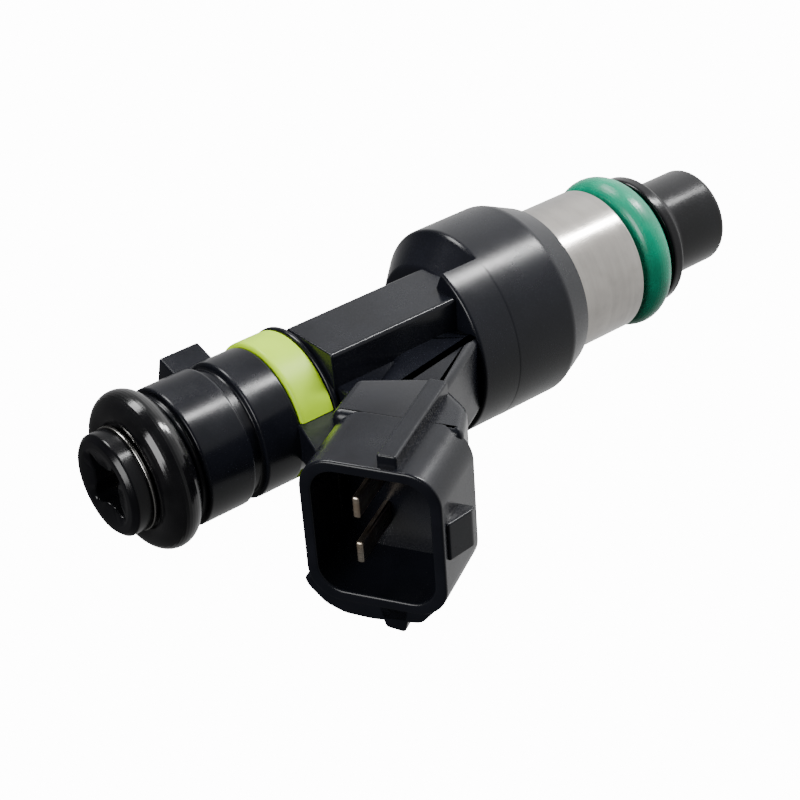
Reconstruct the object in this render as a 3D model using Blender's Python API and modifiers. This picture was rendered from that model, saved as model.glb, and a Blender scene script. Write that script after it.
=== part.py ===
"""Side-connector fuel injector: moulded body, fuel inlet at the top, spray nozzle at the bottom.

The injector axis is +Z and the nozzle end face lies at z = 0.  The connector leans out over +X.
Sizes are given in millimetres and turned into metres by mm().
"""
import math

import bmesh
import bpy
from mathutils import Matrix, Vector

# ---------------------------------------------------------------- driving sizes (millimetres)
FIT = 0.05                 # clearance of pressed or moulded-in pieces
RUN = 0.10                 # clearance of pieces that slide
LIFT = 0.08                # travel of the needle
STEPS = 64                 # segments of the large round pieces
FINE = 40                  # segments of the small round pieces

TUBE_R = 3.75              # thin steel fuel tube; what sits on it follows its size
TUBE_T = 0.4
VALVE_R = TUBE_R + 0.25    # nozzle body under the lower seal ring
NOSE_R = VALVE_R + 0.9     # spray end cap
NOSE_LEN = 6.4
COLLAR_R = NOSE_R + 1.8    # disc that keeps the lower seal ring in place
COLLAR_Z = 7.9
COLLAR_T = 1.3
SPRAY_R = 2.3              # opening in the end of the cap
SPRAY_DEPTH = 1.2
SPRAY_HOLE_R = 0.15         # holes in the orifice plate
SPRAY_HOLE_AT = 0.38
SEAT_Z = 2.6               # foot of the seat cone

VALVE_BORE = 2.1
NEEDLE_R = 0.8
BALL_R = 1.2
SEAT_SLOPE = 0.8125        # radius per height of the seat cone
SEAT_R = 0.6

SEAL_LOWER = 1.80          # radius of the lower seal ring's section
LOWER_SEAL_R = VALVE_R + 0.15 + 2 * SEAL_LOWER
SLEEVE_R = 7.27            # bare steel sleeve
SLEEVE_Z = 13.7
SLEEVE_TOP = 25.0

BARREL_R = 9.62            # moulded barrel round the coil
BARREL_Z = 22.2            # its lower lip
BARREL_RIDGE = 25.3
BARREL_CREASE = 32.3
BARREL_TOP = 36.4
LIP_R = 8.25
SHOULDER_R = 7.0
SHOULDER_DROP = 1.3        # the cone starts this far below the flat shoulder
PAD_ANGLE = 65.0           # half angle of the flat shoulder on the connector side

NECK_R = 5.7               # round back of the neck
NECK_Y = 7.0               # flat sides of the neck
NECK_X = 6.0               # flat front of the neck
NECK_BACK = 0.7            # the flat sides start this far behind the axis
NECK_TOP = 50.4
PAD_Y = 3.9                # raised pad on the neck's front
PAD_X = 7.0
PAD_TOP = 44.3
GROOVE_R = 6.0             # floor of the colour ring groove
GROOVE_Z = 51.0
GROOVE_LIP_R = 6.9
RING_W = 3.5               # width of the colour ring
RING_R = 6.8
RING_GAP = 5.6             # the open ring ends this far round the far side of the web
BAND_R = 6.5               # the two bands above the colour ring
BAND_GAP_Z = 58.5
BAND_GAP_W = 1.2
BAND_GAP_R = 5.9
BODY_TOP = 65.0

TUBE_Z = 21.2
FLANGE_R = TUBE_R + 1.1
FLANGE_T = 0.3
FLANGE_TOP = 69.1
SEAL_UPPER = 1.78          # radius of the upper seal ring's section
UPPER_SEAL_R = TUBE_R + 0.09 + 2 * SEAL_UPPER
SEAL_SEAT = 1.85            # middle of the upper ring below the flange's top

CAP_R = FLANGE_R - 0.1     # inlet cap
CAP_TOP = 71.0
CAP_RECESS_R = 3.2
CAP_RECESS = 0.8
CAP_HOLE_R = 1.75
CAP_LOBE_R = 0.8
CAP_LOBE_AT = 2.1

COIL_Z = 25.6              # electromagnet
COIL_TOP = 31.9
SHELL_R = 8.7
SHELL_T = 0.6
BOBBIN_FLANGE = 0.8
BOBBIN_WALL = 0.6
YOKE_R = 7.0
YOKE_T = 0.9
CORE_TOP = 43.0
CORE_BORE = 1.7
ARMATURE_Z = 21.6
ARMATURE_TOP = 29.3
POCKET_Z = 26.3            # spring pocket of the armature
SPRING_R = 1.15
SPRING_WIRE = 0.18
SPRING_TURNS = 7
ADJUST_Z = 34.0

LEAN = math.radians(30.0)  # connector direction away from the injector axis
BEND_X = 6.3               # the terminals turn towards the connector here
BEND_RISE = 2.1            # above their feet
BLADE_LINE = 28.23         # from that bend to the plane of the mouth, along the blades
BLADE_U = -1.6             # blades beside the connector's middle
SHROUD_U = 12.4            # connector, seen into its mouth
SHROUD_V = 14.0
SHROUD_ROUND = 3.0
SHROUD_LEN = 8.0
SHROUD_WALL = 1.05
SOCKET_DEPTH = 7.6
ROOT_LEN = 12.7            # full-width root behind the shroud
STALK_OUT = 0.0            # outer side of the stalk that joins the root to the barrel
STALK_FOOT = 1.23          # the stalk ends this far along the blades from their bend
WEB_Y = 1.9                # half width of the web between the neck and the connector
BLADE_W = 2.1
BLADE_T = 0.64
BLADE_PITCH = 4.5
BLADE_IN = 0.8             # blade tips below the mouth

LUG_ANGLE = 163.0          # keying lug on the far side of the body
LUG_R = 8.9
LUG_W = 4.4
LUG_Z = 55.5
LUG_H = 4.2

# ---------------------------------------------------------------- helpers


def mm(value):
    return value * 0.001


def clear():
    for old in list(bpy.data.objects):
        bpy.data.objects.remove(old, do_unlink=True)


def collection(name):
    made = bpy.data.collections.new(name)
    bpy.context.scene.collection.children.link(made)
    return made


def material(name, colour, metallic, roughness):
    made = bpy.data.materials.new(name)
    made.use_nodes = True
    shader = made.node_tree.nodes["Principled BSDF"]
    shader.inputs["Base Color"].default_value = (*colour, 1.0)
    shader.inputs["Metallic"].default_value = metallic
    shader.inputs["Roughness"].default_value = roughness
    made.diffuse_color = (*colour, 1.0)
    return made


def add(name, mesh, finish, smooth=True):
    made = bpy.data.objects.new(name, mesh)
    if finish is None:
        cutters.objects.link(made)
        made.hide_render = True
        made.display_type = "WIRE"
    else:
        injector.objects.link(made)
        mesh.materials.append(material(name, *finish))
    for face in mesh.polygons:
        face.use_smooth = smooth
    return made


def turned(name, profile, finish, steps=STEPS, closed=True):
    """Round piece from a profile of (radius, height) that runs down its outer side."""
    mesh = bpy.data.meshes.new(name)
    points = [(mm(r), 0.0, mm(z)) for r, z in profile]
    edges = [(i, i + 1) for i in range(len(points) - 1)]
    if closed:
        edges.append((len(points) - 1, 0))
    mesh.from_pydata(points, edges, [])
    made = add(name, mesh, finish)
    spin = made.modifiers.new("spin", "SCREW")
    spin.steps = steps
    spin.render_steps = steps
    spin.use_merge_vertices = True
    spin.merge_threshold = 0.00001
    spin.use_smooth_shade = True
    return made


def prism(name, outline, start, end, finish, place=None, smooth=False):
    """Straight piece: a counter-clockwise (x, y) outline extruded from z = start to z = end."""
    shape = bmesh.new()
    base = shape.faces.new([shape.verts.new((mm(x), mm(y), mm(start))) for x, y in outline])
    grown = bmesh.ops.extrude_face_region(shape, geom=[base], use_keep_orig=True)
    raised = [item for item in grown["geom"] if isinstance(item, bmesh.types.BMVert)]
    bmesh.ops.translate(shape, verts=raised, vec=(0.0, 0.0, mm(end - start)))
    bmesh.ops.recalc_face_normals(shape, faces=shape.faces)
    if place is not None:
        shape.transform(place)
    mesh = bpy.data.meshes.new(name)
    shape.to_mesh(mesh)
    shape.free()
    return add(name, mesh, finish, smooth)


def drill(name, radius, start, end, steps=FINE, x=0.0, y=0.0):
    """Round cutter along z."""
    shape = bmesh.new()
    place = Matrix.Translation((mm(x), mm(y), mm(start + end) / 2))
    bmesh.ops.create_cone(shape, cap_ends=True, segments=steps, radius1=mm(radius),
                          radius2=mm(radius), depth=mm(end - start), matrix=place)
    mesh = bpy.data.meshes.new(name)
    shape.to_mesh(mesh)
    shape.free()
    return add(name, mesh, None)


def rectangle(x0, x1, y0, y1, corner=0.0, steps=6):
    """Counter-clockwise rectangle outline with rounded corners."""
    if corner <= 0.0:
        return [(x0, y0), (x1, y0), (x1, y1), (x0, y1)]
    centres = [(x1 - corner, y1 - corner, 0), (x0 + corner, y1 - corner, 90),
               (x0 + corner, y0 + corner, 180), (x1 - corner, y0 + corner, 270)]
    outline = []
    for cx, cy, first in centres:
        for i in range(steps + 1):
            angle = math.radians(first + 90.0 * i / steps)
            outline.append((cx + corner * math.cos(angle), cy + corner * math.sin(angle)))
    return outline


def combine(target, other, operation):
    step = target.modifiers.new(operation.lower() + "_" + other.name, "BOOLEAN")
    step.operation = operation
    step.solver = "EXACT"
    step.object = other


def join(target, other):
    combine(target, other, "UNION")


def cut(target, other):
    combine(target, other, "DIFFERENCE")


def seal_ring(name, outer, section, height, finish):
    middle = outer - section
    turns = 20
    profile = [(middle + section * math.cos(2 * math.pi * i / turns),
                height - section * math.sin(2 * math.pi * i / turns)) for i in range(turns)]
    return turned(name, profile, finish)


FOOT_Z = COIL_TOP + 1.35
BEND_Z = FOOT_Z + BEND_RISE
MOUTH_X = BEND_X - BLADE_U * math.cos(LEAN) + BLADE_LINE * math.sin(LEAN)
MOUTH_Z = BEND_Z + BLADE_U * math.sin(LEAN) + BLADE_LINE * math.cos(LEAN)


def socket_frame():
    """Connector space: x = outward across the mouth, y = along +Y, z = out of the mouth."""
    outward = Vector((math.cos(LEAN), 0.0, -math.sin(LEAN)))
    forward = Vector((math.sin(LEAN), 0.0, math.cos(LEAN)))
    side = forward.cross(outward)
    turn = Matrix((outward, side, forward)).transposed().to_4x4()
    return Matrix.Translation((mm(MOUTH_X), 0.0, mm(MOUTH_Z))) @ turn


# ---------------------------------------------------------------- finishes (colour, metallic, roughness)
BLACK = ((0.012, 0.013, 0.016), 0.0, 0.42)
GLOSS = ((0.006, 0.006, 0.007), 0.0, 0.20)
RUBBER = ((0.007, 0.007, 0.008), 0.0, 0.26)
GREEN = ((0.0, 0.23, 0.13), 0.0, 0.38)
LIME = ((0.50, 0.72, 0.03), 0.0, 0.45)
STEEL = ((0.56, 0.55, 0.53), 1.0, 0.28)
IRON = ((0.30, 0.30, 0.31), 1.0, 0.40)
BRASS = ((0.72, 0.52, 0.22), 1.0, 0.30)
COPPER = ((0.66, 0.28, 0.13), 1.0, 0.35)
TIN = ((0.62, 0.58, 0.50), 1.0, 0.32)
NYLON = ((0.62, 0.58, 0.46), 0.0, 0.55)
BOBBIN = ((0.10, 0.07, 0.05), 0.0, 0.50)

clear()
injector = collection("fuel_injector")
cutters = collection("cutters")

# ---------------------------------------------------------------- moulded body
tube_bore = TUBE_R + FIT
web_tip_x = MOUTH_X - 7.0
web_tip_z = MOUTH_Z - 2.2
housing = turned("overmould_housing", [
    (0.0, BODY_TOP), (BAND_GAP_R, BODY_TOP), (BAND_GAP_R, BODY_TOP - 0.5),
    (BAND_R - 0.25, BODY_TOP - 0.5), (BAND_R, BODY_TOP - 0.75),
    (BAND_R, BAND_GAP_Z + BAND_GAP_W), (BAND_GAP_R, BAND_GAP_Z + BAND_GAP_W),
    (BAND_GAP_R, BAND_GAP_Z), (BAND_R, BAND_GAP_Z),
    (BAND_R, GROOVE_Z + RING_W + 2 * FIT), (GROOVE_R, GROOVE_Z + RING_W + 2 * FIT),
    (GROOVE_R, GROOVE_Z), (GROOVE_LIP_R, GROOVE_Z), (GROOVE_LIP_R, NECK_TOP), (NECK_R, NECK_TOP),
    (NECK_R, BARREL_TOP - SHOULDER_DROP), (SHOULDER_R, BARREL_TOP - SHOULDER_DROP),
    (BARREL_R, BARREL_CREASE),
    (BARREL_R, BARREL_RIDGE), (LIP_R, BARREL_Z), (0.0, BARREL_Z)], BLACK, closed=False)

neck_box = prism("neck_box", rectangle(-NECK_BACK, NECK_X, -NECK_Y, NECK_Y, 0.3, 3),
                 BARREL_TOP - 2.5, NECK_TOP + 0.1, None)
join(housing, neck_box)
upright = Matrix(((1, 0, 0, 0), (0, 0, -1, 0), (0, 1, 0, 0), (0, 0, 0, 1)))
across = Matrix(((0, 0, 1, 0), (1, 0, 0, 0), (0, 1, 0, 0), (0, 0, 0, 1)))
pad = prism("neck_pad", rectangle(-PAD_Y, PAD_Y, BARREL_TOP - 0.6, PAD_TOP, 0.9, 4),
            NECK_X - 0.5, PAD_X, None, across)
join(housing, pad)

edge = BARREL_R - 0.02
fan = [(0.0, 0.0)]
for i in range(25):
    turn_by = math.radians(PAD_ANGLE * (i / 12.0 - 1.0))
    fan.append((edge * math.cos(turn_by), edge * math.sin(turn_by)))
shoulder_pad = prism("shoulder_pad", fan, BARREL_CREASE - 0.6, BARREL_TOP, None)
join(housing, shoulder_pad)

at_mouth = socket_frame()
half_u = SHROUD_U / 2
half_v = SHROUD_V / 2
root = prism("connector_root", [
    (-half_u + 0.05, -ROOT_LEN), (STALK_OUT + 0.5, -ROOT_LEN - 2.0), (half_u - 1.6, -SHROUD_LEN - 3.0),
    (half_u - 0.6, -SHROUD_LEN + 1.0), (-half_u + 0.05, -SHROUD_LEN + 1.0)],
    -half_v + 0.1, half_v - 0.1, None, at_mouth @ upright)
join(housing, root)
stalk = prism("stalk", rectangle(-half_u + 0.1, STALK_OUT, -PAD_Y - 0.1, PAD_Y + 0.1, 0.8, 4),
              STALK_FOOT - BLADE_LINE, -ROOT_LEN + 1.0, None, at_mouth)
join(housing, stalk)
shroud = prism("shroud", rectangle(-half_u, half_u, -half_v, half_v, SHROUD_ROUND),
               -SHROUD_LEN, 0.0, None, at_mouth)
join(housing, shroud)
web = prism("web", [(5.0, NECK_TOP - 2.0), (9.9, NECK_TOP - 2.0), (web_tip_x, web_tip_z),
                    (web_tip_x - 0.6, web_tip_z + 0.6), (6.6, NECK_TOP + 4.5), (5.0, NECK_TOP + 4.5)],
            -WEB_Y, WEB_Y, None, upright)
join(housing, web)

rib = prism("key_rib_top", rectangle(0.7, 2.4, half_v - 0.6, half_v + 1.1), -ROOT_LEN + 0.3, -0.5,
            None, at_mouth)
join(housing, rib)
skirt = prism("rim_skirt", [(-half_u - 0.6, -half_v + 1.5), (-half_u - 0.3, -half_v + 0.7),
                            (-half_u + 1.2, -half_v - 0.9), (-half_u + 2.9, -half_v - 1.6),
                            (-0.8, -half_v - 1.7), (half_u - 2.6, -half_v - 1.2),
                            (half_u - 0.9, -half_v + 1.0), (half_u - 2.0, -half_v + 2.6),
                            (-half_u + 1.2, -half_v + 2.6)], -2.2, -0.3, None, at_mouth)
join(housing, skirt)
rib = prism("key_rib_bottom", [(-0.4, -half_v + 0.4), (0.4, -half_v - 2.2), (2.1, -half_v - 2.4),
                               (2.8, -half_v + 0.4)], -2.8, -0.3, None, at_mouth)
join(housing, rib)

tip = half_u + 1.3
latch = prism("latch_wedge", [(half_u - 0.6, -3.9), (tip, -3.9), (tip, -3.2),
                              (half_u + 0.2, -0.8), (half_u - 0.6, -0.8)],
              -2.2, 1.4, None, at_mouth @ upright)
join(housing, latch)

lug_turn = Matrix.Rotation(math.radians(LUG_ANGLE), 4, "Z")
lug = prism("lug", [(4.6, -LUG_W / 2), (LUG_R, -LUG_W / 2), (LUG_R, LUG_W / 2 - 1.2),
                    (LUG_R - 1.2, LUG_W / 2), (4.6, LUG_W / 2)],
            LUG_Z, LUG_Z + LUG_H, None, lug_turn)
join(housing, lug)

cavity = turned("body_cavity", [
    (0.0, BODY_TOP + 1.0), (tube_bore, BODY_TOP + 1.0), (tube_bore, COIL_TOP + 1.2),
    (YOKE_R + RUN, COIL_TOP + 1.2), (YOKE_R + RUN, COIL_TOP + 0.15),
    (SHELL_R + FIT, COIL_TOP + 0.15), (SHELL_R + FIT, SLEEVE_TOP + RUN),
    (SLEEVE_R + FIT, SLEEVE_TOP + RUN), (SLEEVE_R + FIT, BARREL_Z - 1.0),
    (0.0, BARREL_Z - 1.0)], None, closed=False)
cut(housing, cavity)

in_u = half_u - SHROUD_WALL
in_v = half_v - SHROUD_WALL
socket = prism("socket", rectangle(-in_u, in_u, -in_v, in_v, SHROUD_ROUND - SHROUD_WALL + 0.3),
               -SOCKET_DEPTH, 1.0, None, at_mouth)
cut(housing, socket)

# ---------------------------------------------------------------- terminals
tip_x = MOUTH_X + BLADE_U * math.cos(LEAN) - BLADE_IN * math.sin(LEAN)
tip_z = MOUTH_Z - BLADE_U * math.sin(LEAN) - BLADE_IN * math.cos(LEAN)


def strip(grow):
    """Outline of the bent terminal strip in the x-z plane."""
    half = BLADE_T / 2 + grow
    nx = half * math.cos(LEAN)
    nz = half * math.sin(LEAN)
    rise = half / math.sin(math.pi - LEAN) * (1 - math.cos(LEAN))
    foot = FOOT_Z - 5.0 * grow
    return [(BEND_X - half, foot), (BEND_X + half, foot), (BEND_X + half, BEND_Z - rise),
            (tip_x + nx, tip_z - nz), (tip_x - nx, tip_z + nz), (BEND_X - half, BEND_Z + rise)]


for name, side in (("terminal_left", 1), ("terminal_right", -1)):
    middle = side * BLADE_PITCH / 2
    prism(name, strip(0.0), -middle - BLADE_W / 2, -middle + BLADE_W / 2, TIN, upright)
    slot = prism(name + "_slot", strip(FIT), -middle - BLADE_W / 2 - FIT,
                 -middle + BLADE_W / 2 + FIT, None, upright)
    cut(housing, slot)

# ---------------------------------------------------------------- fuel tube, seals and cap
tube_in = TUBE_R - TUBE_T
turned("inlet_tube", [
    (FLANGE_R, FLANGE_TOP), (FLANGE_R, FLANGE_TOP - FLANGE_T), (TUBE_R, FLANGE_TOP - FLANGE_T),
    (TUBE_R, TUBE_Z), (tube_in, TUBE_Z), (tube_in, FLANGE_TOP)], STEEL)
seal_ring("upper_seal_ring", UPPER_SEAL_R, SEAL_UPPER, FLANGE_TOP - FLANGE_T - SEAL_SEAT, RUBBER)
colour_ring = turned("colour_ring", [
    (RING_R - 0.2, GROOVE_Z + RING_W + FIT), (RING_R, GROOVE_Z + RING_W + FIT - 0.3),
    (RING_R, GROOVE_Z + FIT), (GROOVE_R + FIT, GROOVE_Z + FIT),
    (GROOVE_R + FIT, GROOVE_Z + RING_W + FIT)], LIME)
ring_gap = prism("ring_gap", rectangle(0.0, RING_R + 3.0, -RING_GAP, WEB_Y + FIT),
                 GROOVE_Z - 1.0, GROOVE_Z + RING_W + 1.0, None)
cut(colour_ring, ring_gap)

spigot = tube_in - FIT
cap = turned("inlet_cap", [
    (0.0, CAP_TOP - CAP_RECESS), (CAP_RECESS_R - 0.25, CAP_TOP - CAP_RECESS), (CAP_RECESS_R, CAP_TOP),
    (CAP_R - 0.45, CAP_TOP), (CAP_R, CAP_TOP - 0.45), (CAP_R, FLANGE_TOP + FIT),
    (spigot, FLANGE_TOP + FIT), (spigot, FLANGE_TOP - 1.2), (0.0, FLANGE_TOP - 1.2)],
    GLOSS, closed=False)
cut(cap, drill("cap_hole", CAP_HOLE_R, FLANGE_TOP - 3.0, CAP_TOP + 1.0))
for i in range(4):
    angle = math.radians(45 + 90 * i)
    cut(cap, drill("cap_lobe_%d" % i, CAP_LOBE_R, FLANGE_TOP - 3.0, CAP_TOP + 1.0, 16,
                   CAP_LOBE_AT * math.cos(angle), CAP_LOBE_AT * math.sin(angle)))

filter_top = FLANGE_TOP - 1.3
filter_r = tube_in - FIT
turned("filter_ring", [
    (filter_r, filter_top), (filter_r, filter_top - 2.4), (filter_r - 0.5, filter_top - 2.4),
    (filter_r - 0.5, filter_top)], BRASS)
cage_r = filter_r - 0.5 - FIT
cage = turned("filter_cage", [
    (cage_r - 0.7, filter_top), (cage_r, filter_top), (cage_r, filter_top - 14.0),
    (1.0, filter_top - 14.0), (1.0, filter_top - 13.3), (cage_r - 0.7, filter_top - 13.3)],
    NYLON, FINE)
window = prism("cage_window_x", rectangle(-4.0, 4.0, -1.1, 1.1), filter_top - 12.4,
               filter_top - 3.2, None)
cut(cage, window)
window = prism("cage_window_y", rectangle(-1.1, 1.1, -4.0, 4.0), filter_top - 12.4,
               filter_top - 3.2, None)
cut(cage, window)
mesh_r = cage_r - 0.7 - FIT
turned("filter_mesh", [
    (mesh_r, filter_top - 2.0), (mesh_r, filter_top - 13.2), (mesh_r - 0.2, filter_top - 13.2),
    (mesh_r - 0.2, filter_top - 2.0)], STEEL, FINE)

# ---------------------------------------------------------------- electromagnet
turned("coil_shell", [
    (SHELL_R, COIL_TOP + 0.1), (SHELL_R, SLEEVE_TOP + 2 * RUN),
    (SHELL_R - SHELL_T, SLEEVE_TOP + 2 * RUN), (SHELL_R - SHELL_T, COIL_TOP + 0.1)], IRON)
bobbin_in = TUBE_R + FIT
hub_r = bobbin_in + BOBBIN_WALL
flange_r = SHELL_R - SHELL_T - RUN
turned("coil_bobbin", [
    (flange_r, COIL_TOP), (flange_r, COIL_TOP - BOBBIN_FLANGE), (hub_r, COIL_TOP - BOBBIN_FLANGE),
    (hub_r, COIL_Z + BOBBIN_FLANGE), (flange_r, COIL_Z + BOBBIN_FLANGE), (flange_r, COIL_Z),
    (bobbin_in, COIL_Z), (bobbin_in, COIL_TOP)], BOBBIN)
turned("coil_winding", [
    (flange_r - 0.3, COIL_TOP - BOBBIN_FLANGE - FIT), (flange_r - 0.3, COIL_Z + BOBBIN_FLANGE + FIT),
    (hub_r + FIT, COIL_Z + BOBBIN_FLANGE + FIT), (hub_r + FIT, COIL_TOP - BOBBIN_FLANGE - FIT)],
    COPPER)
turned("yoke_plate", [
    (YOKE_R, COIL_TOP + 0.2 + YOKE_T), (YOKE_R, COIL_TOP + 0.2), (bobbin_in, COIL_TOP + 0.2),
    (bobbin_in, COIL_TOP + 0.2 + YOKE_T)], IRON)
core_r = tube_in - FIT
core_z = ARMATURE_TOP + LIFT + 0.02
turned("fixed_core", [
    (core_r, CORE_TOP), (core_r, core_z), (CORE_BORE, core_z), (CORE_BORE, CORE_TOP)], IRON, FINE)
adjust_r = CORE_BORE - FIT
turned("adjusting_tube", [
    (adjust_r, CORE_TOP - 1.0), (adjust_r, ADJUST_Z), (adjust_r - 0.6, ADJUST_Z),
    (adjust_r - 0.6, CORE_TOP - 1.0)], STEEL, FINE)

# ---------------------------------------------------------------- moving armature and needle
armature_r = tube_in - RUN
shaft_bore = NEEDLE_R + FIT
turned("armature", [
    (armature_r, ARMATURE_TOP), (armature_r, ARMATURE_Z), (shaft_bore, ARMATURE_Z),
    (shaft_bore, POCKET_Z), (adjust_r, POCKET_Z), (adjust_r, ARMATURE_TOP)], IRON, FINE)

apex_z = SEAT_Z - SEAT_R / SEAT_SLOPE
ball_z = apex_z + (BALL_R + 0.03) / math.sin(math.atan(SEAT_SLOPE))
needle_profile = [(0.0, POCKET_Z - 0.1), (NEEDLE_R, POCKET_Z - 0.1)]
neck_angle = math.acos(NEEDLE_R / BALL_R)
for i in range(13):
    angle = neck_angle - (neck_angle + math.pi / 2) * i / 12
    needle_profile.append((max(BALL_R * math.cos(angle), 0.0), ball_z + BALL_R * math.sin(angle)))
needle_profile[-1] = (0.0, ball_z - BALL_R)
turned("valve_needle", needle_profile, STEEL, FINE, closed=False)

spring_low = POCKET_Z + SPRING_WIRE + 0.02
spring_high = ADJUST_Z - SPRING_WIRE - 0.02
path = bpy.data.curves.new("return_spring", "CURVE")
path.dimensions = "3D"
path.bevel_depth = mm(SPRING_WIRE)
path.bevel_resolution = 2
path.use_fill_caps = True
line = path.splines.new("POLY")
count = SPRING_TURNS * 20
line.points.add(count)
for i in range(count + 1):
    share = i / count
    angle = 2 * math.pi * SPRING_TURNS * share
    line.points[i].co = (mm(SPRING_R * math.cos(angle)), mm(SPRING_R * math.sin(angle)),
                         mm(spring_low + (spring_high - spring_low) * share), 1.0)
spring = bpy.data.objects.new("return_spring", path)
injector.objects.link(spring)
path.materials.append(material("return_spring", *STEEL))

# ---------------------------------------------------------------- nozzle
valve_top = TUBE_Z - FIT
turned("valve_body", [
    (VALVE_R, valve_top), (VALVE_R, SPRAY_DEPTH + 0.55), (SEAT_R, SPRAY_DEPTH + 0.55),
    (SEAT_R, SEAT_Z), (VALVE_BORE, SEAT_Z + (VALVE_BORE - SEAT_R) / SEAT_SLOPE),
    (VALVE_BORE, valve_top)], STEEL)
plate = turned("orifice_plate", [
    (0.0, SPRAY_DEPTH + 0.5), (VALVE_R - FIT, SPRAY_DEPTH + 0.5), (VALVE_R - FIT, SPRAY_DEPTH + FIT),
    (0.0, SPRAY_DEPTH + FIT)], STEEL, FINE, closed=False)
for i in range(4):
    angle = math.radians(90 * i)
    cut(plate, drill("spray_hole_%d" % i, SPRAY_HOLE_R, 0.5, 3.0, 12,
                     SPRAY_HOLE_AT * math.cos(angle), SPRAY_HOLE_AT * math.sin(angle)))
sleeve_in = VALVE_R + FIT
turned("steel_sleeve", [
    (SLEEVE_R, SLEEVE_TOP), (SLEEVE_R, SLEEVE_Z + 0.3), (SLEEVE_R - 0.3, SLEEVE_Z),
    (sleeve_in, SLEEVE_Z), (sleeve_in, SLEEVE_TOP)], STEEL)
turned("nose_cap", [
    (COLLAR_R - 0.2, COLLAR_Z + COLLAR_T), (COLLAR_R, COLLAR_Z + COLLAR_T - 0.2), (COLLAR_R, COLLAR_Z),
    (NOSE_R + 0.5, COLLAR_Z - 0.5), (NOSE_R, NOSE_LEN), (NOSE_R, 0.5), (NOSE_R - 0.5, 0.0),
    (SPRAY_R + 0.4, 0.0), (SPRAY_R, SPRAY_DEPTH), (VALVE_R + FIT, SPRAY_DEPTH),
    (VALVE_R + FIT, COLLAR_Z + COLLAR_T)], GLOSS)
lower_z = COLLAR_Z + COLLAR_T + SEAL_LOWER + (SLEEVE_Z - COLLAR_Z - COLLAR_T - 2 * SEAL_LOWER) / 2
seal_ring("lower_seal_ring", LOWER_SEAL_R, SEAL_LOWER, lower_z, GREEN)
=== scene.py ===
"""Looks of the side-connector fuel injector: finished surfaces over the CAD frame, and a studio.

Lengths inside the shape functions are millimetres on the injector's own axes; solid() turns them
into metres.  The injector axis is +Z, the nozzle end is at z = 0 and the connector leans over +X.
"""

import math

import bmesh
import bpy
import numpy as np
from mathutils import Matrix, Vector


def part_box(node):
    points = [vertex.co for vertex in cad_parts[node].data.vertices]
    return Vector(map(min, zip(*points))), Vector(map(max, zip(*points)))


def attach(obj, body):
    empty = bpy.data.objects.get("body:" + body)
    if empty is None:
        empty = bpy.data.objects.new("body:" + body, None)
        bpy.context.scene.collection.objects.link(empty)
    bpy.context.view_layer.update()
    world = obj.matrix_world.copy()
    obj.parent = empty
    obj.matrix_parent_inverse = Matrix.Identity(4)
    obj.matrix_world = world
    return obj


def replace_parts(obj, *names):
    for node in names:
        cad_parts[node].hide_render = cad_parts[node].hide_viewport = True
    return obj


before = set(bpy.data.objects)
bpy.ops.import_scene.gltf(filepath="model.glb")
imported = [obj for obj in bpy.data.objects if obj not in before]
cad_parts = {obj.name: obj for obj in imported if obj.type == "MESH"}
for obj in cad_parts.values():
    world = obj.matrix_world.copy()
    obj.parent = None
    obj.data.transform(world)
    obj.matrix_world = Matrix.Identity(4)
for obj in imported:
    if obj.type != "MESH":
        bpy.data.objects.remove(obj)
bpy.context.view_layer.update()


TO_MM = 1000.0
TO_M = 0.001


def levels(node):
    """Lowest and highest corner of a CAD node in millimetres."""
    low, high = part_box(node)
    return np.array(low) * TO_MM, np.array(high) * TO_MM


# ---------------------------------------------------------------- sizes from the frame
house_low = levels("overmould_housing")[0]
nose_high = levels("nose_cap")[1]
sleeve_low, sleeve_high = levels("steel_sleeve")
tube_low, tube_high = levels("inlet_tube")
cap_low, cap_high = levels("inlet_cap")
ring_low, ring_high = levels("colour_ring")
top_seal_low, top_seal_high = levels("upper_seal_ring")
low_seal_low, low_seal_high = levels("lower_seal_ring")
shell_high = levels("coil_shell")[1]

CLEAR = 0.05  # gap left between neighbouring surfaces
LIFT_ROOM = 0.12  # room above the return spring for the needle's lift
HOLD = 0.06  # distance of the extra row that keeps a run flat beside a rounded edge
TUBE_R = 3.75
SLEEVE_R = sleeve_high[0]
BARREL_R = 9.62
LIP_R = 8.25
LIP_Z = house_low[2]
RIDGE_Z = LIP_Z + 3.1
CREASE_Z = LIP_Z + 10.1
BARREL_TOP = LIP_Z + 14.2
CONE_TOP = BARREL_TOP - 1.3
CONE_R = 7.0
NECK_BACK_R = 5.7
NECK_BACK = 0.7
PAD_ANGLE = 65.0
NECK_X = 6.0
NECK_Y = 7.0
NECK_TOP = BARREL_TOP + 14.0
NECK_TOP_R = 6.9
PAD_Y = 3.9
GROOVE_Z = ring_low[2] - CLEAR
GROOVE_R = 6.0
BAND_R = 6.5
BAND_GAP_R = 5.9
BAND_Z = BARREL_TOP + 22.1
BODY_TOP = BARREL_TOP + 28.6

LEAN = math.radians(30.0)
MOUTH = Vector((21.8, 0.0, BARREL_TOP + 22.6))
HALF_U = 6.2
HALF_V = 7.0
WALL = 1.05
CORNER = 3.0
SHROUD_LEN = 8.0
ROOT_LEN = 12.7
STALK_LEN = 27.0
SOCKET_DEPTH = 7.6
RIM = 0.22
LUG_TURN = math.radians(163.0)

# UPRIGHT carries an outline of (x, z) along -Y; SIDEWAYS carries an outline of (y, z) along +X.
UPRIGHT = Matrix(((1, 0, 0, 0), (0, 0, -1, 0), (0, 1, 0, 0), (0, 0, 0, 1)))
SIDEWAYS = Matrix(((0, 0, 1, 0), (1, 0, 0, 0), (0, 1, 0, 0), (0, 0, 0, 1)))

# ---------------------------------------------------------------- shapes


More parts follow.
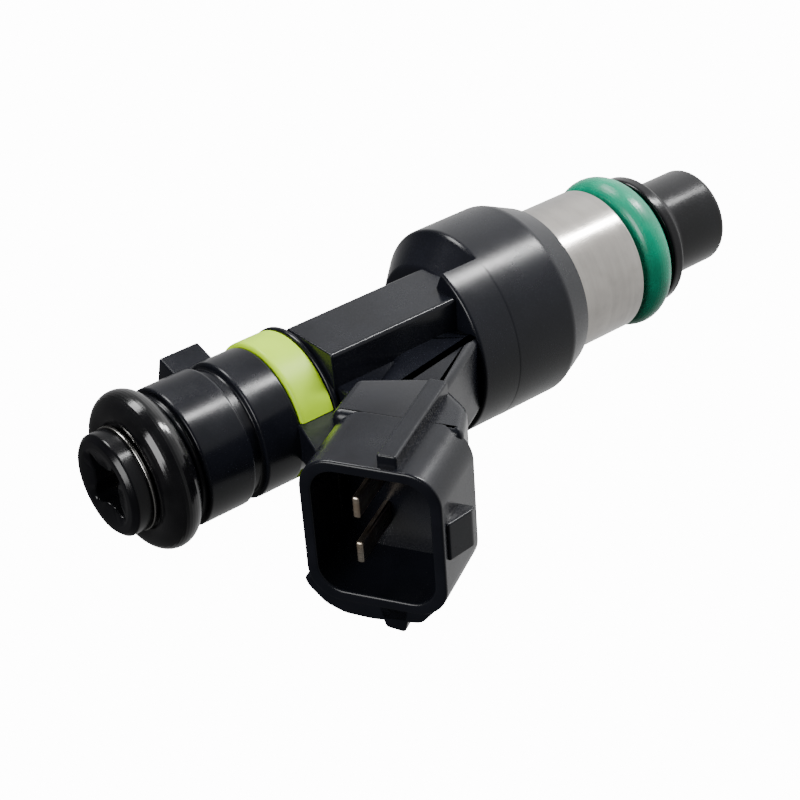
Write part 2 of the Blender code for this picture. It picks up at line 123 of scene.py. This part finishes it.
def soften(points, radius, cyclic=True, steps=4):
    """Corner c becomes the curve (1-t)^2 p + 2t(1-t) c + t^2 q, with p and q radius away from c.

    One more point on each side, HOLD further out, keeps the straight run flat in the shading.
    """
    points = [np.array(p, float) for p in points]
    count = len(points)
    share = np.linspace(0.0, 1.0, steps + 1)[:, None]
    rows = []
    for i, corner in enumerate(points):
        if not cyclic and i in (0, count - 1):
            rows.append(corner[None, :])
            continue
        before = points[i - 1] - corner
        after = points[(i + 1) % count] - corner
        long_before = np.linalg.norm(before)
        long_after = np.linalg.norm(after)
        reach = min(radius, 0.45 * long_before, 0.45 * long_after)
        p = corner + before / long_before * reach
        q = corner + after / long_after * reach
        rows.append(p[None, :] + before / long_before * min(HOLD, 0.04 * long_before))
        rows.append((1 - share) ** 2 * p + 2 * share * (1 - share) * corner + share ** 2 * q)
        rows.append(q[None, :] + after / long_after * min(HOLD, 0.04 * long_after))
    return np.vstack(rows)


def solid(name, grid, loop_rows, material, slot, place=None, sharp=40.0, body="injector"):
    """Closed mesh from a grid of points; columns always close, rows close or end in a cap."""
    rows, cols = grid.shape[:2]
    index = np.arange(rows * cols).reshape(rows, cols)
    upper = np.roll(index, -1, axis=0) if loop_rows else index[1:]
    lower = index if loop_rows else index[:-1]
    quads = np.stack([lower, np.roll(lower, -1, axis=1), np.roll(upper, -1, axis=1), upper],
                     axis=-1)
    faces = quads.reshape(-1, 4).tolist()
    if not loop_rows:
        faces.append(index[0][::-1].tolist())
        faces.append(index[-1].tolist())
    mesh = bpy.data.meshes.new(name)
    mesh.from_pydata((grid.reshape(-1, 3) * TO_M).tolist(), [], faces)
    if place is not None:
        metres = place.copy()
        metres.translation = place.translation * TO_M
        mesh.transform(metres)
    shape = bmesh.new()
    shape.from_mesh(mesh)
    bmesh.ops.remove_doubles(shape, verts=shape.verts, dist=1e-8)
    bmesh.ops.dissolve_degenerate(shape, edges=shape.edges, dist=1e-8)
    bmesh.ops.recalc_face_normals(shape, faces=shape.faces)
    if shape.calc_volume(signed=True) < 0.0:
        bmesh.ops.reverse_faces(shape, faces=shape.faces)
    shape.to_mesh(mesh)
    shape.free()
    mesh.shade_smooth()
    mesh.set_sharp_from_angle(angle=math.radians(sharp))
    made = bpy.data.objects.new(name, mesh)
    bpy.context.scene.collection.objects.link(made)
    mesh.materials.append(material)
    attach(made, body)
    return made


def revolve(name, profile, material, soft=0.15, closed=True, steps=160, **rest):
    """A profile of (radius, height) turned about Z: (r cos a, r sin a, z) for a full turn of a."""
    line = soften(profile, soft, closed)
    turn = np.linspace(0.0, 2 * np.pi, steps, endpoint=False)
    radius = np.maximum(line[:, 0], 0.0)[:, None]
    grid = np.stack([radius * np.cos(turn), radius * np.sin(turn),
                     np.repeat(line[:, 1][:, None], steps, axis=1)], axis=-1)
    return solid(name, grid, closed, material, **rest)


def arc_revolve(name, profile, start, end, material, soft=0.15, steps=120, **rest):
    """The same turning, stopped between two angles in degrees and capped at both ends."""
    line = soften(profile, soft)
    turn = np.radians(np.linspace(start, end, steps))[:, None]
    grid = np.stack([line[:, 0] * np.cos(turn), line[:, 0] * np.sin(turn),
                     np.repeat(line[:, 1][None, :], steps, axis=0)], axis=-1)
    return solid(name, grid, False, material, **rest)


def torus(name, middle, section, height, material, **rest):
    """Ring of round section: (R + s cos b, height + s sin b) turned about Z."""
    round_by = np.linspace(0.0, 2 * np.pi, 40, endpoint=False)
    profile = np.stack([middle + section * np.cos(round_by),
                        height + section * np.sin(round_by)], axis=-1)
    return revolve(name, profile, material, soft=0.0001, steps=200, **rest)


def inset(outline, amount):
    """The outline moved inwards by amount along the mean of its two edge normals at each point."""
    ahead = np.roll(outline, -1, axis=0) - outline
    normal = np.stack([ahead[:, 1], -ahead[:, 0]], axis=-1)
    normal /= np.maximum(np.linalg.norm(normal, axis=1), 1e-9)[:, None]
    mean = normal + np.roll(normal, 1, axis=0)
    size = np.maximum(np.linalg.norm(mean, axis=1), 1e-9)[:, None]
    return outline - mean / size * amount


def at_height(outline, height):
    return np.column_stack([outline, np.full(len(outline), height)])


def block(name, outline, start, end, material, edge=0.2, corner=0.3, place=None, **rest):
    """Outline carried from start to end, each end drawn in on a quarter circle of radius edge."""
    line = soften(outline, corner)
    bend = np.linspace(0.0, np.pi / 2, 5)
    rise = edge * (1 - np.cos(bend))
    draw = edge * (1 - np.sin(bend))
    heights = np.concatenate([start + rise, [start + edge + HOLD, end - edge - HOLD],
                              end - rise[::-1]])
    insets = np.concatenate([draw, [0.0, 0.0], draw[::-1]])
    sections = [at_height(inset(line, amount), height) for height, amount in zip(heights, insets)]
    return solid(name, np.array(sections), False, material, place=place, **rest)


def arc(radius, start, end, steps=41):
    """Points (r cos a, r sin a) for a between two angles in degrees."""
    angle = np.radians(np.linspace(start, end, steps))
    return list(zip(radius * np.cos(angle), radius * np.sin(angle)))


def rectangle(x0, x1, y0, y1):
    return [(x0, y0), (x1, y0), (x1, y1), (x0, y1)]


def rounded_box(half_u, half_v, corner, steps=14):
    """Rounded rectangle: four quarter circles of radius corner, counter-clockwise."""
    turn = np.linspace(0.0, np.pi / 2, steps)
    parts = []
    for i, (su, sv) in enumerate(((1, 1), (-1, 1), (-1, -1), (1, -1))):
        angle = turn + i * np.pi / 2
        parts.append(np.column_stack([su * (half_u - corner) + corner * np.cos(angle),
                                      sv * (half_v - corner) + corner * np.sin(angle)]))
    return np.vstack(parts)


def mouth_frame():
    """Connector axes: x across the mouth away from the body, y along +Y, z out of the mouth."""
    outward = Vector((math.cos(LEAN), 0.0, -math.sin(LEAN)))
    forward = Vector((math.sin(LEAN), 0.0, math.cos(LEAN)))
    turn = Matrix((outward, forward.cross(outward), forward)).transposed().to_4x4()
    return Matrix.Translation(MOUTH) @ turn


# ---------------------------------------------------------------- finishes


class Wire:
    """A socket whose arithmetic adds Math nodes."""

    def __init__(self, finish, socket):
        self.finish = finish
        self.socket = socket

    def math(self, operation, first, second):
        node = self.finish.node("ShaderNodeMath", {"operation": operation}, {0: first, 1: second})
        return node.out(0)

    def __add__(self, other):
        return self.math("ADD", self, other)

    def __mul__(self, other):
        return self.math("MULTIPLY", self, other)

    def __sub__(self, other):
        return self.math("SUBTRACT", self, other)

    def __lt__(self, other):
        return self.math("LESS_THAN", self, other)

    def __abs__(self):
        return self.math("ABSOLUTE", self, 0.0)


class Node:
    """A shader node whose outputs come as wires."""

    def __init__(self, finish, node):
        self.finish = finish
        self.node = node

    def out(self, key):
        return Wire(self.finish, self.node.outputs[key])


class Finish:
    """A Principled material with fixed numbers; paint() links what varies over the surface."""

    def __init__(self, name, colour, roughness, metallic=0.0, specular=0.5):
        self.material = bpy.data.materials.new(name)
        self.material.use_nodes = True
        self.tree = self.material.node_tree
        self.shader = self.tree.nodes["Principled BSDF"]
        self.shader.inputs["Base Color"].default_value = (*colour, 1.0)
        self.shader.inputs["Roughness"].default_value = roughness
        self.shader.inputs["Metallic"].default_value = metallic
        self.shader.inputs["Specular IOR Level"].default_value = specular

    def node(self, kind, settings, values):
        made = self.tree.nodes.new(kind)
        for key, value in settings.items():
            setattr(made, key, value)
        for key, value in values.items():
            if isinstance(value, Wire):
                self.tree.links.new(value.socket, made.inputs[key])
            else:
                made.inputs[key].default_value = value
        return Node(self, made)

    def place(self):
        return self.node("ShaderNodeTexCoord", {}, {}).out("Object")

    def stretched(self, scale):
        values = {"Vector": self.place(), "Scale": scale}
        return self.node("ShaderNodeMapping", {}, values).out("Vector")

    def noise(self, scale, detail=3.0, vector=None):
        values = {"Scale": scale, "Detail": detail, "Vector": vector or self.place()}
        return self.node("ShaderNodeTexNoise", {}, values).out(0)

    def split(self):
        return self.node("ShaderNodeSeparateXYZ", {}, {"Vector": self.place()})

    def between(self, share, low, high):
        ramp = self.node("ShaderNodeMapRange", {"clamp": True}, {
            "Value": share, "From Min": 0.35, "From Max": 0.65, "To Min": low, "To Max": high})
        return ramp.out(0)

    def colours(self, share, first, second):
        mix = self.node("ShaderNodeMix", {"data_type": "RGBA"}, {
            "Factor": share, 6: (*first, 1.0), 7: (*second, 1.0)})
        return mix.out(2)

    def bump(self, height, strength, distance):
        return self.node("ShaderNodeBump", {}, {
            "Height": height, "Strength": strength, "Distance": distance}).out(0)

    def paint(self, **links):
        for key, wire in links.items():
            self.tree.links.new(wire.socket, self.shader.inputs[key.replace("_", " ")])
        return self.material


def moulded(name, colour, pale, smooth, rough, seam=False, specular=0.5):
    """Injection-moulded plastic: cloudy sheen, fine grain, flow marks and a fine parting seam."""
    finish = Finish(name, colour, rough, specular=specular)
    clouds = finish.noise(240.0, 4.0)
    grain = finish.noise(9000.0, 2.0)
    flow = finish.noise(1.0, 3.0, finish.stretched((260.0, 260.0, 900.0)))
    height = grain * 0.5
    if seam:
        line = abs(finish.split().out("Y") - 0.0001) < 0.00004
        height = height + line * 0.8
    specks = finish.between(finish.noise(2600.0, 1.0) - 0.16, 0.0, 0.5)
    return finish.paint(
        Base_Color=finish.colours(finish.between(clouds, 0.0, 1.0), colour, pale),
        Roughness=finish.between(clouds * 0.8 + flow * 0.2, smooth, rough) + specks * 0.04,
        Normal=finish.bump(height, 0.10, 0.00002))


def rubber(name, colour, dark, smooth, rough, specular):
    """Moulded rubber ring: cloudy film of oil over fine pits."""
    finish = Finish(name, colour, rough, specular=specular)
    film = finish.noise(420.0, 3.0)
    pits = finish.noise(5200.0, 2.0)
    return finish.paint(
        Base_Color=finish.colours(finish.between(film, 0.0, 1.0), colour, dark),
        Roughness=finish.between(film, smooth, rough),
        Normal=finish.bump(pits * 0.5 + film * 0.5, 0.10, 0.00008))


def turned_steel(name, colour, dark, smooth, rough, stain=0.0):
    """Turned steel: fine rings from the tool, cloudy sheen and a few darker stains."""
    finish = Finish(name, colour, rough, metallic=1.0)
    rings = finish.noise(1.0, 2.0, finish.stretched((60.0, 60.0, 14000.0)))
    wide = finish.noise(1.0, 2.0, finish.stretched((90.0, 90.0, 1500.0)))
    clouds = finish.noise(300.0, 4.0)
    marks = finish.between(finish.noise(900.0, 3.0) * 1.15 - 0.17, 0.0, stain)
    shade = finish.between(wide * 0.5 + clouds * 0.5, 0.0, 0.45) + marks
    return finish.paint(
        Base_Color=finish.colours(shade, colour, dark),
        Roughness=finish.between(rings * 0.4 + clouds * 0.6, smooth, rough) + marks * 0.25,
        Normal=finish.bump(rings * 0.6 + wide * 0.4, 0.14, 0.00004))


def drawn_metal(name, colour, dark, smooth, rough):
    """Stamped or wound metal: long fine scratches and cloudy tarnish."""
    finish = Finish(name, colour, rough, metallic=1.0)
    scratch = finish.noise(1.0, 2.0, finish.stretched((1200.0, 9000.0, 500.0)))
    tarnish = finish.noise(500.0, 3.0)
    return finish.paint(
        Base_Color=finish.colours(finish.between(tarnish, 0.0, 1.0), colour, dark),
        Roughness=finish.between(scratch * 0.5 + tarnish * 0.5, smooth, rough),
        Normal=finish.bump(scratch, 0.12, 0.00003))


body_black = moulded("body_black", (0.0030, 0.0034, 0.0052), (0.0045, 0.0050, 0.0075), 0.20, 0.28,
                     seam=True, specular=0.22)
gloss_black = moulded("gloss_black", (0.002, 0.002, 0.0025), (0.003, 0.003, 0.004), 0.16, 0.26,
                      specular=0.22)
seal_black = rubber("seal_black", (0.002, 0.002, 0.0025), (0.004, 0.004, 0.0045), 0.12, 0.20, 0.35)
seal_green = rubber("seal_green", (0.0, 0.19, 0.105), (0.0, 0.14, 0.078), 0.22, 0.34, 0.35)
lime = moulded("lime_plastic", (0.32, 0.52, 0.0), (0.36, 0.58, 0.006), 0.38, 0.50, specular=0.3)
sleeve_steel = turned_steel("sleeve_steel", (0.40, 0.38, 0.355), (0.24, 0.225, 0.21), 0.14, 0.22,
                            0.15)
bright_steel = turned_steel("bright_steel", (0.50, 0.49, 0.47), (0.30, 0.29, 0.28), 0.16, 0.28)
dark_iron = turned_steel("dark_iron", (0.30, 0.30, 0.31), (0.17, 0.17, 0.17), 0.30, 0.46, 0.3)
brass = drawn_metal("brass_ring", (0.74, 0.54, 0.24), (0.50, 0.36, 0.16), 0.22, 0.38)
tin = drawn_metal("tinned_blade", (0.60, 0.54, 0.46), (0.42, 0.34, 0.25), 0.26, 0.42)
copper = drawn_metal("copper_wire", (0.68, 0.30, 0.14), (0.45, 0.18, 0.08), 0.28, 0.42)
nylon = moulded("filter_nylon", (0.60, 0.56, 0.44), (0.66, 0.62, 0.50), 0.45, 0.60)
bobbin_brown = moulded("bobbin_brown", (0.09, 0.06, 0.045), (0.12, 0.09, 0.07), 0.42, 0.55)

# ---------------------------------------------------------------- moulded body


def skin(name, shape, *args, **rest):
    """One moulded piece of the body."""
    return shape(name, *args, slot="overmould_housing", **rest)


def moulded_body():
    bore = TUBE_R + CLEAR
    shell_r = shell_high[0] + CLEAR
    step = shell_high[2] + 0.05
    core = skin("body_core", revolve, [
        (BAND_GAP_R, BODY_TOP), (BAND_GAP_R, BODY_TOP - 0.5), (BAND_R, BODY_TOP - 0.5),
        (BAND_R, BAND_Z + 1.2), (BAND_GAP_R, BAND_Z + 1.2), (BAND_GAP_R, BAND_Z), (BAND_R, BAND_Z),
        (BAND_R, ring_high[2] + CLEAR), (GROOVE_R, ring_high[2] + CLEAR), (GROOVE_R, GROOVE_Z),
        (NECK_TOP_R, GROOVE_Z), (NECK_TOP_R, NECK_TOP), (NECK_BACK_R, NECK_TOP),
        (NECK_BACK_R, CONE_TOP),
        (CONE_R, CONE_TOP), (BARREL_R, CREASE_Z), (BARREL_R, RIDGE_Z), (LIP_R, LIP_Z),
        (SLEEVE_R + CLEAR, LIP_Z), (SLEEVE_R + CLEAR, sleeve_high[2] + 0.1),
        (shell_r, sleeve_high[2] + 0.1), (shell_r, step), (bore, step), (bore, BODY_TOP)],
        body_black, soft=0.28, steps=200)
    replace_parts(core, "overmould_housing")
    wall = math.degrees(math.acos(-NECK_BACK / bore))
    neck = [(-NECK_BACK, -NECK_Y), (NECK_X, -NECK_Y), (NECK_X, NECK_Y), (-NECK_BACK, NECK_Y)]
    skin("neck_block", block, neck + arc(bore, wall, -wall), BARREL_TOP - 2.3, NECK_TOP + 0.1,
         body_black, edge=0.15, corner=0.35)
    skin("shoulder_pad", arc_revolve, [
        (BARREL_R - 0.02, BARREL_TOP), (BARREL_R - 0.02, CREASE_Z - 0.6),
        (shell_r + 0.05, CREASE_Z - 0.6), (shell_r + 0.05, CREASE_Z + 0.9),
        (bore, CREASE_Z + 0.9), (bore, BARREL_TOP)],
        -PAD_ANGLE, PAD_ANGLE, body_black, soft=0.35)
    skin("neck_pad", block, rectangle(-PAD_Y, PAD_Y, BARREL_TOP - 0.6, BARREL_TOP + 7.9),
         NECK_X - 0.5, NECK_X + 1.0, body_black, edge=0.7, corner=1.2, place=SIDEWAYS)


def connector():
    at_mouth = mouth_frame()
    beside_mouth = at_mouth @ UPRIGHT
    skin("connector_root", block, [
        (-HALF_U + 0.05, -ROOT_LEN), (0.5, -ROOT_LEN - 2.0), (HALF_U - 1.6, -SHROUD_LEN - 3.0),
        (HALF_U - 0.6, -SHROUD_LEN + 1.0), (-HALF_U + 0.05, -SHROUD_LEN + 1.0)],
        -HALF_V + 0.1, HALF_V - 0.1, body_black, edge=0.8, corner=0.8, place=beside_mouth)
    skin("stalk", block, [
        (-HALF_U + 0.1, -STALK_LEN + 2.1), (-HALF_U + 3.0, -STALK_LEN), (0.0, -STALK_LEN),
        (0.0, -ROOT_LEN + 1.0), (-HALF_U + 0.1, -ROOT_LEN + 1.0)],
        -PAD_Y - 0.1, PAD_Y + 0.1, body_black, edge=0.8, corner=0.1, place=beside_mouth)
    skin("stalk_fill", block, [
        (NECK_X - 0.4, NECK_TOP - 8.0), (NECK_X + 0.3, NECK_TOP - 7.4),
        (NECK_X + 4.0, NECK_TOP - 0.2), (NECK_X - 0.4, NECK_TOP - 0.2)],
        -3.6, 3.6, body_black, edge=0.3, corner=0.2, place=UPRIGHT)
    skin("web", block, [
        (5.0, NECK_TOP - 2.0), (9.9, NECK_TOP - 2.0), (14.8, NECK_TOP + 6.4),
        (14.2, NECK_TOP + 7.0), (6.6, NECK_TOP + 4.5), (5.0, NECK_TOP + 4.5)],
        -1.9, 1.9, body_black, edge=0.2, corner=0.3, place=UPRIGHT)

    outer = rounded_box(HALF_U, HALF_V, CORNER)
    inner = rounded_box(HALF_U - WALL, HALF_V - WALL, CORNER - WALL + 0.3)
    draw = 0.4
    rows = [at_height(inset(outer, draw), -SHROUD_LEN), at_height(outer, -SHROUD_LEN + draw),
            at_height(outer, -SHROUD_LEN + draw + HOLD), at_height(outer, -RIM - HOLD)]
    bend = [(RIM * (1 - math.cos(turn)), -RIM + RIM * math.sin(turn))
            for turn in np.linspace(0.0, np.pi / 2, 5)]
    rows += [at_height(inset(outer, amount), height) for amount, height in bend]
    rows += [at_height(inset(inner, -amount), height) for amount, height in bend[::-1]]
    rows += [at_height(inner, -RIM - HOLD), at_height(inner, -SOCKET_DEPTH + 0.5),
             at_height(inset(inner, 0.5), -SOCKET_DEPTH)]
    skin("shroud", solid, np.array(rows), False, body_black, place=at_mouth, sharp=50.0)

    skin("key_rib_top", block, rectangle(0.7, 2.4, HALF_V - 0.6, HALF_V + 1.1),
         -ROOT_LEN + 0.3, -0.5, body_black, edge=0.15, corner=0.25, place=at_mouth)
    skin("rim_skirt", block, [
        (-HALF_U - 0.6, -HALF_V + 1.5), (-HALF_U - 0.3, -HALF_V + 0.7),
        (-HALF_U + 1.2, -HALF_V - 0.9), (-HALF_U + 2.9, -HALF_V - 1.6),
        (-0.8, -HALF_V - 1.7), (HALF_U - 2.6, -HALF_V - 1.2),
        (HALF_U - 0.7, -HALF_V + 1.1), (HALF_U - 1.3, -HALF_V + 1.3),
        (HALF_U - 3.1, -HALF_V + 0.6), (-HALF_U + 3.1, -HALF_V + 0.6),
        (-HALF_U + 1.3, -HALF_V + 1.3), (-HALF_U + 0.4, -HALF_V + 2.1)],
        -2.2, -0.3, body_black, edge=0.3, corner=0.5, place=at_mouth)
    skin("key_rib_bottom", block, [
        (-0.4, -HALF_V + 0.4), (0.4, -HALF_V - 2.2), (2.1, -HALF_V - 2.4), (2.8, -HALF_V + 0.4)],
        -2.8, -0.3, body_black, edge=0.2, corner=0.3, place=at_mouth)
    tip = HALF_U + 1.3
    skin("latch_wedge", block, [
        (HALF_U - 0.6, -3.9), (tip, -3.9), (tip, -3.2), (HALF_U + 0.2, -0.8), (HALF_U - 0.6, -0.8)],
        -2.2, 1.4, body_black, edge=0.15, corner=0.15, place=beside_mouth)
    skin("lug", block, [(4.6, -2.2), (8.9, -2.2), (8.9, 1.0), (7.7, 2.2), (4.6, 2.2)],
         BARREL_TOP + 19.1, BARREL_TOP + 23.3, body_black, edge=0.2, corner=0.3,
         place=Matrix.Rotation(LUG_TURN, 4, "Z"))


# ---------------------------------------------------------------- seals, sleeve, nose, cap


def round_pieces():
    middle = (top_seal_low[2] + top_seal_high[2]) / 2
    section = (top_seal_high[2] - top_seal_low[2]) / 2
    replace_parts(torus("upper_seal", top_seal_high[0] - section, section, middle, seal_black,
                      slot="upper_seal_ring"), "upper_seal_ring")
    middle = (low_seal_low[2] + low_seal_high[2]) / 2
    section = (low_seal_high[2] - low_seal_low[2]) / 2
    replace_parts(torus("lower_seal", low_seal_high[0] - section, section, middle, seal_green,
                      slot="lower_seal_ring"), "lower_seal_ring")

    top = ring_high[2]
    outer = 6.8
    gap = math.degrees(math.asin(1.95 / outer))
    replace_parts(arc_revolve("colour_band", [
        (outer, top - 0.1), (outer, ring_low[2]), (GROOVE_R + CLEAR, ring_low[2]),
        (GROOVE_R + CLEAR, top)], gap, 292.0, lime, soft=0.3, slot="colour_ring"), "colour_ring")

    bottom = sleeve_low[2]
    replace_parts(revolve("bare_sleeve", [
        (SLEEVE_R, sleeve_high[2]), (SLEEVE_R, bottom + 0.3), (SLEEVE_R - 0.3, bottom),
        (4.05, bottom), (4.05, sleeve_high[2])], sleeve_steel, soft=0.12, steps=200,
        slot="steel_sleeve"), "steel_sleeve")

    collar_top = nose_high[2]
    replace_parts(revolve("nose", [
        (6.6, collar_top), (6.7, collar_top - 0.3), (6.7, collar_top - 1.3),
        (5.4, collar_top - 1.8), (4.9, collar_top - 2.8), (4.9, 0.45), (4.45, 0.0), (2.7, 0.0),
        (2.3, 1.2), (4.05, 1.2), (4.05, collar_top)],
        gloss_black, soft=0.28, steps=200, slot="nose_cap"), "nose_cap")

    flange = tube_high[2]
    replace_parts(revolve("fuel_tube", [
        (4.85, flange), (4.85, flange - 0.3), (TUBE_R, flange - 0.3), (TUBE_R, tube_low[2]),
        (3.35, tube_low[2]), (3.35, flange)],
        bright_steel, soft=0.08, steps=200, slot="inlet_tube"), "inlet_tube")


def inlet_cap():
    """Cap whose hole is r(a) = least + arm |cos 2(a - pi/4)|^5, a star with four diagonal arms."""
    steps = 240
    least, arm = 1.95, 1.2
    turn = np.linspace(0.0, 2 * np.pi, steps, endpoint=False)
    hole = least + arm * np.abs(np.cos(2 * (turn - np.pi / 4))) ** 5
    top = cap_high[2]
    foot = cap_low[2]
    shelf = tube_high[2] + CLEAR
    spigot = 3.3

    def ring(radius, height):
        radius = np.broadcast_to(radius, turn.shape)
        return at_height(np.column_stack([radius * np.cos(turn), radius * np.sin(turn)]), height)

    rim = soften([(3.6, top - 0.02), (3.7, top), (4.3, top), (4.75, top - 0.45), (4.75, shelf),
                  (spigot, shelf), (spigot, foot)], 0.12, cyclic=False)
    rows = [ring(hole, foot), ring(hole, top - 0.45), ring(hole + 0.04, top - 0.3),
            ring(hole + 0.14, top - 0.2)]
    for radius, height in rim:
        rows.append(ring(radius, height))
    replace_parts(solid("filter_cap", np.array(rows), True, gloss_black, sharp=45.0,
                      slot="inlet_cap"), "inlet_cap")


def blades():
    """Terminals: a strip that rises from the coil, bends by the lean and ends inside the mouth."""
    half = 0.32
    width, pitch = 2.1, 4.5
    beside, below = -1.6, 0.8
    bend_x, bend_rise = 6.3, 2.1
    sine, cosine = math.sin(LEAN), math.cos(LEAN)
    tip_x = MOUTH.x + beside * cosine - below * sine
    tip_z = MOUTH.z - beside * sine - below * cosine
    foot_z = levels("terminal_left")[0][2]
    bend_z = foot_z + bend_rise
    rise = half / sine * (1 - cosine)
    outline = [(bend_x - half, foot_z), (bend_x + half, foot_z), (bend_x + half, bend_z - rise),
               (tip_x + half * cosine, tip_z - half * sine),
               (tip_x - half * cosine, tip_z + half * sine), (bend_x - half, bend_z + rise)]
    for side, name in ((1, "terminal_left"), (-1, "terminal_right")):
        middle = -side * pitch / 2
        piece = block("blade_" + name, outline, middle - width / 2, middle + width / 2, tin,
                      edge=0.2, corner=0.22, place=UPRIGHT, slot=name)
        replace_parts(piece, name)


def coil_spring():
    """Return spring: a round wire along (R cos a, R sin a, z), z rising evenly with a."""
    low, high = levels("return_spring")
    wire = 0.18
    radius = high[0] - wire
    turns, per_turn, sides = 7, 36, 12
    angle = np.linspace(0.0, 2 * np.pi * turns, turns * per_turn + 1)
    rise = np.linspace(low[2] + wire, high[2] - wire - LIFT_ROOM, len(angle))
    centre = np.column_stack([radius * np.cos(angle), radius * np.sin(angle), rise])
    outward = np.column_stack([np.cos(angle), np.sin(angle), np.zeros(len(angle))])
    upward = np.array([0.0, 0.0, 1.0])
    around = np.linspace(0.0, 2 * np.pi, sides, endpoint=False)
    grid = centre[:, None, :] + wire * (np.cos(around)[None, :, None] * outward[:, None, :]
                                        + np.sin(around)[None, :, None] * upward)
    spring = solid("spring_wire", grid, False, bright_steel, body="needle_group",
                   slot="return_spring")
    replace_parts(spring, "return_spring")


def keep(node, material):
    """A CAD node that is shown as it is, with its finish."""
    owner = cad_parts[node]
    for held in owner.material_slots:
        held.material = material
    if not owner.material_slots:
        owner.data.materials.append(material)


moulded_body()
connector()
round_pieces()
inlet_cap()
blades()
coil_spring()
for material, nodes in (
        (bright_steel, ("valve_body", "orifice_plate", "valve_needle", "adjusting_tube",
                        "filter_mesh")),
        (dark_iron, ("armature", "fixed_core", "coil_shell", "yoke_plate")),
        (brass, ("filter_ring",)), (nylon, ("filter_cage",)),
        (bobbin_brown, ("coil_bobbin",)), (copper, ("coil_winding",))):
    for node in nodes:
        keep(node, material)

# ---------------------------------------------------------------- studio


def floor(height, size, shown, given):
    """White sheet that glows by shown to the camera and by given to everything else."""
    white, paler = (0.92, 0.92, 0.92), (0.935, 0.935, 0.935)
    paper = Finish("white_paper", white, 0.9)
    fibres = paper.noise(60.0, 2.0)
    material = paper.paint(Base_Color=paper.colours(fibres, white, paler))
    paper.shader.inputs["Emission Color"].default_value = (1.0, 1.0, 1.0, 1.0)
    paper.shader.inputs["Emission Strength"].default_value = given
    glow = paper.node("ShaderNodeEmission", {}, {"Strength": shown}).out(0)
    seen = paper.node("ShaderNodeLightPath", {}, {}).out("Is Camera Ray")
    principled = Wire(paper, paper.shader.outputs[0])
    both = paper.node("ShaderNodeMixShader", {}, {0: seen, 1: principled, 2: glow}).out(0)
    paper.tree.links.new(both.socket, paper.tree.nodes["Material Output"].inputs["Surface"])
    bpy.ops.mesh.primitive_plane_add(size=size, location=(0.0, 0.0, height))
    sheet = bpy.context.object
    sheet.name = "floor"
    sheet.data.materials.append(material)


def lamp(name, place, aim, size, power, long=None):
    """Area light at place that faces aim, size by long in metres."""
    data = bpy.data.lights.new(name, "AREA")
    data.shape = "RECTANGLE"
    data.size = size
    data.size_y = long or size
    data.energy = power
    made = bpy.data.objects.new(name, data)
    made.location = place
    made.rotation_euler = (Vector(aim) - Vector(place)).to_track_quat("-Z", "Y").to_euler()
    bpy.context.scene.collection.objects.link(made)


def ambient(strength):
    world = bpy.data.worlds.new("studio")
    bpy.context.scene.world = world
    world.use_nodes = True
    background = world.node_tree.nodes["Background"]
    background.inputs["Color"].default_value = (1.0, 1.0, 1.0, 1.0)
    background.inputs["Strength"].default_value = strength


def camera(azimuth, elevation, roll, aim, distance, lens):
    """Camera on a line from aim at an azimuth and elevation, rolled about its own axis."""
    azimuth, elevation, roll = (math.radians(angle) for angle in (azimuth, elevation, roll))
    back = Vector((math.cos(elevation) * math.cos(azimuth), math.cos(elevation) * math.sin(azimuth),
                   math.sin(elevation)))
    level = Vector((-math.sin(azimuth), math.cos(azimuth), 0.0))
    rise = back.cross(level)
    right = math.cos(roll) * level + math.sin(roll) * rise
    turn = Matrix((right, back.cross(right), back)).transposed().to_4x4()
    data = bpy.data.cameras.new("camera")
    data.lens = lens
    data.clip_start = 0.005
    made = bpy.data.objects.new("camera", data)
    made.matrix_world = Matrix.Translation(Vector(aim) + back * distance) @ turn
    bpy.context.scene.collection.objects.link(made)
    bpy.context.scene.camera = made


floor(height=-0.12, size=12.0, shown=14.0, given=0.15)
ambient(0.10)
lamp("overhead", place=(0.10, 0.20, 0.50), aim=(0.0, 0.0, 0.03), size=0.30, power=3.6)
lamp("strip_side", place=(0.030, 0.171, -0.06), aim=(0.0, 0.0, 0.04), size=0.022, power=0.8,
     long=0.11)
lamp("soft_above", place=(-0.16, 0.26, 0.06), aim=(0.0, 0.0, 0.04), size=0.10, power=1.0,
     long=0.16)
camera(azimuth=38.0, elevation=30.24, roll=-115.8, aim=(0.00980, 0.00229, 0.04630),
       distance=0.175, lens=90.0)
